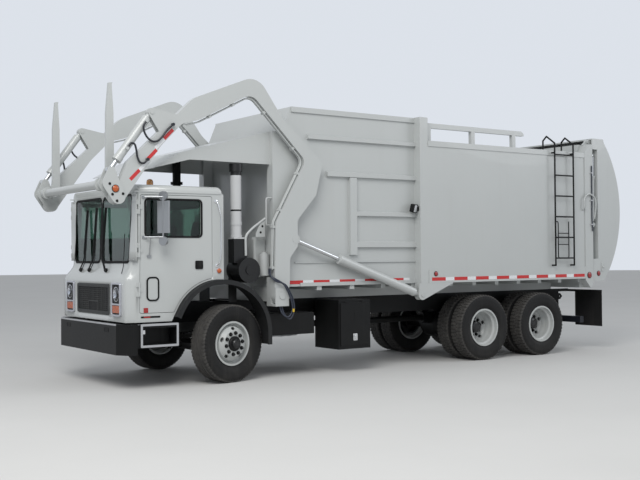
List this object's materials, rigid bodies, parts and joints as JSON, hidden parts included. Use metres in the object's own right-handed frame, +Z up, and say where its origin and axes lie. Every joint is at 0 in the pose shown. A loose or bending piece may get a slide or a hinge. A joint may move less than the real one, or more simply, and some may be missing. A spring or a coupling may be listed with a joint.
{
  "type": "front-loading refuse truck",
  "caption": "White front-loading garbage truck with a low cab, curved lift arms over it, hopper, ribbed body and hinged tailgate.",
  "frame": {"origin": "on the ground under the middle of the truck's length and width", "axes": "+Z up, -Y to the front of the truck, +X to the driver's side (the truck's left)"},
  "size_m": [2.6882, 9.819, 4.0921],
  "materials": {
    "white_paint": "gloss",
    "black_paint": "satin",
    "black_plastic": "matte",
    "flap_rubber": "matte",
    "hose_rubber": "satin",
    "tinted_glass": "polished",
    "lamp_glass": "polished",
    "mirror_chrome": "polished",
    "rod_chrome": "polished",
    "seat_fabric": "matte",
    "engine_iron": "rough",
    "tank_aluminium": "brushed",
    "packer_steel": "worn",
    "tyre": "matte",
    "wheel_white": "satin"
  },
  "bodies": {
    "truck": {"chassis_frame": "black_paint", "front_axle": "black_paint", "drive_axles": "black_paint", "engine": "engine_iron", "front_bumper": "black_paint", "front_fenders": "black_plastic", "cab_shell": "white_paint", "cab_roof": "white_paint", "cab_glass": "tinted_glass", "front_grille": "black_plastic", "headlights": "lamp_glass", "cab_seats": "seat_fabric", "dashboard": "black_plastic", "exhaust_stack": "black_paint", "air_cleaner": "white_paint", "hydraulic_tank": "black_paint", "hopper_body": "white_paint", "storage_body": "white_paint", "body_floor": "white_paint", "front_frame": "white_paint", "mid_frame": "white_paint", "rear_frame": "white_paint", "canopy": "white_paint", "ladder": "black_paint", "mud_flaps": "flap_rubber", "tool_boxes": "black_paint", "fuel_tank": "tank_aluminium"},
    "top_door": {"top_door": "white_paint"},
    "packer_panel": {"packer_panel": "packer_steel"},
    "tailgate": {"tailgate": "white_paint"},
    "tailgate_cylinder_barrels": {"tailgate_cylinder_barrels": "white_paint"},
    "tailgate_cylinder_rods": {"tailgate_cylinder_rods": "rod_chrome"},
    "tie_rod": {"tie_rod": "black_paint"},
    "left_knuckle": {"left_knuckle": "black_paint"},
    "right_knuckle": {"right_knuckle": "black_paint"},
    "lift_arms": {"lift_arms": "white_paint", "arm_hoses": "hose_rubber"},
    "lift_cylinder_barrels": {"lift_cylinder_barrels": "white_paint"},
    "lift_cylinder_rods": {"lift_cylinder_rods": "rod_chrome"},
    "fork_frame": {"fork_frame": "white_paint"},
    "fork_cylinder_barrels": {"fork_cylinder_barrels": "white_paint"},
    "fork_cylinder_rods": {"fork_cylinder_rods": "rod_chrome"},
    "left_cab_door": {"left_door": "white_paint", "left_door_glass": "tinted_glass", "left_mirror": "mirror_chrome"},
    "left_front_wheel": {"left_front_rim": "wheel_white", "left_front_tyre": "tyre"},
    "left_second_wheels": {"left_second_rims": "wheel_white", "left_second_tyres": "tyre"},
    "left_rear_wheels": {"left_rear_rims": "wheel_white", "left_rear_tyres": "tyre"},
    "right_cab_door": {"right_door": "white_paint", "right_door_glass": "tinted_glass", "right_mirror": "mirror_chrome"},
    "right_front_wheel": {"right_front_rim": "wheel_white", "right_front_tyre": "tyre"},
    "right_second_wheels": {"right_second_rims": "wheel_white", "right_second_tyres": "tyre"},
    "right_rear_wheels": {"right_rear_rims": "wheel_white", "right_rear_tyres": "tyre"}
  },
  "joints": [
    {"name": "lift_arms_swing", "type": "hinge", "parent": "truck", "child": "lift_arms", "pos_m": [0, -2.3045, 1.14], "axis": [-1, 0, 0], "range_deg": [-40, 40]},
    {"name": "lift_barrels_tilt", "type": "hinge", "parent": "truck", "child": "lift_cylinder_barrels", "pos_m": [0, 0.2455, 1.08], "axis": [-1, 0, 0], "range_deg": [-1, 1]},
    {"name": "lift_rods_slide", "type": "slide", "parent": "lift_cylinder_barrels", "child": "lift_cylinder_rods", "axis": [0, -0.9396, 0.3424], "range_m": [-0.53, 0.53]},
    {"name": "fork_frame_tilt", "type": "hinge", "parent": "lift_arms", "child": "fork_frame", "pos_m": [0, -4.7045, 2.444], "axis": [-1, 0, 0], "range_deg": [-55, 5]},
    {"name": "fork_barrels_tilt", "type": "hinge", "parent": "lift_arms", "child": "fork_cylinder_barrels", "pos_m": [0, -4.2325, 3.533], "axis": [-1, 0, 0], "range_deg": [-0.5, 4]},
    {"name": "fork_rods_slide", "type": "slide", "parent": "fork_cylinder_barrels", "child": "fork_cylinder_rods", "axis": [0, -0.5936, -0.8048], "range_m": [-0.03, 0.31]},
    {"name": "tailgate_swing", "type": "hinge", "parent": "truck", "child": "tailgate", "pos_m": [0, 4.1755, 3.655], "axis": [1, 0, 0], "range_deg": [0, 85]},
    {"name": "tailgate_barrels_tilt", "type": "hinge", "parent": "truck", "child": "tailgate_cylinder_barrels", "pos_m": [0, 4.2455, 2.2], "axis": [1, 0, 0], "range_deg": [-7, 0.5]},
    {"name": "tailgate_rods_slide", "type": "slide", "parent": "tailgate_cylinder_barrels", "child": "tailgate_cylinder_rods", "axis": [0, 0.0246, 0.9997], "range_m": [0, 0.33]},
    {"name": "steering", "type": "hinge", "parent": "truck", "child": "left_knuckle", "pos_m": [0.865, -3.0845, 0.5225], "axis": [0, 0, 1], "range_deg": [-49, 27]},
    {"name": "right_knuckle_turn", "type": "hinge", "parent": "truck", "child": "right_knuckle", "pos_m": [-0.865, -3.0845, 0.5225], "axis": [0, 0, 1], "range_deg": [-49, 27]},
    {"name": "tie_rod_turn", "type": "hinge", "parent": "left_knuckle", "child": "tie_rod", "pos_m": [0.82684, -2.88817, 0.3822], "axis": [0, 0, 1], "range_deg": [-27, 49]},
    {"name": "left_front_wheel_spin", "type": "hinge", "parent": "left_knuckle", "child": "left_front_wheel", "pos_m": [1.02697, -3.05302, 0.5225], "axis": [0.9816, 0.1908, 0], "continuous": true},
    {"name": "right_front_wheel_spin", "type": "hinge", "parent": "right_knuckle", "child": "right_front_wheel", "pos_m": [-1.02697, -3.11598, 0.5225], "axis": [0.9816, 0.1908, 0], "continuous": true},
    {"name": "left_second_wheels_spin", "type": "hinge", "parent": "truck", "child": "left_second_wheels", "pos_m": [0.8975, 1.5855, 0.5225], "axis": [1, 0, 0], "continuous": true},
    {"name": "left_rear_wheels_spin", "type": "hinge", "parent": "truck", "child": "left_rear_wheels", "pos_m": [0.8975, 2.9055, 0.5225], "axis": [1, 0, 0], "continuous": true},
    {"name": "left_door_swing", "type": "hinge", "parent": "truck", "child": "left_cab_door", "pos_m": [1.1273, -4.3725, 1.8], "axis": [0, 0, -1], "range_deg": [0, 67]},
    {"name": "right_second_wheels_spin", "type": "hinge", "parent": "truck", "child": "right_second_wheels", "pos_m": [-0.8975, 1.5855, 0.5225], "axis": [1, 0, 0], "continuous": true},
    {"name": "right_rear_wheels_spin", "type": "hinge", "parent": "truck", "child": "right_rear_wheels", "pos_m": [-0.8975, 2.9055, 0.5225], "axis": [1, 0, 0], "continuous": true},
    {"name": "right_door_swing", "type": "hinge", "parent": "truck", "child": "right_cab_door", "pos_m": [-1.1273, -4.3725, 1.8], "axis": [0, 0, 1], "range_deg": [0, 67]},
    {"name": "top_door_slide", "type": "slide", "parent": "truck", "child": "top_door", "axis": [0, 1, 0], "range_m": [0, 2.1]},
    {"name": "packer_slide", "type": "slide", "parent": "truck", "child": "packer_panel", "axis": [0, 1, 0], "range_m": [0, 2]}
  ],
  "couplings": [
    {"joint": "lift_barrels_tilt", "follows": "lift_arms_swing", "ratio": 0.012},
    {"joint": "lift_rods_slide", "follows": "lift_arms_swing", "m_per_rad": -0.753},
    {"joint": "fork_barrels_tilt", "follows": "fork_frame_tilt", "ratio": -0.07},
    {"joint": "fork_rods_slide", "follows": "fork_frame_tilt", "m_per_rad": -0.3216},
    {"joint": "tailgate_barrels_tilt", "follows": "tailgate_swing", "ratio": -0.08},
    {"joint": "tailgate_rods_slide", "follows": "tailgate_swing", "m_per_rad": 0.218},
    {"joint": "right_knuckle_turn", "follows": "steering", "ratio": 1},
    {"joint": "tie_rod_turn", "follows": "steering", "ratio": -1}
  ]
}
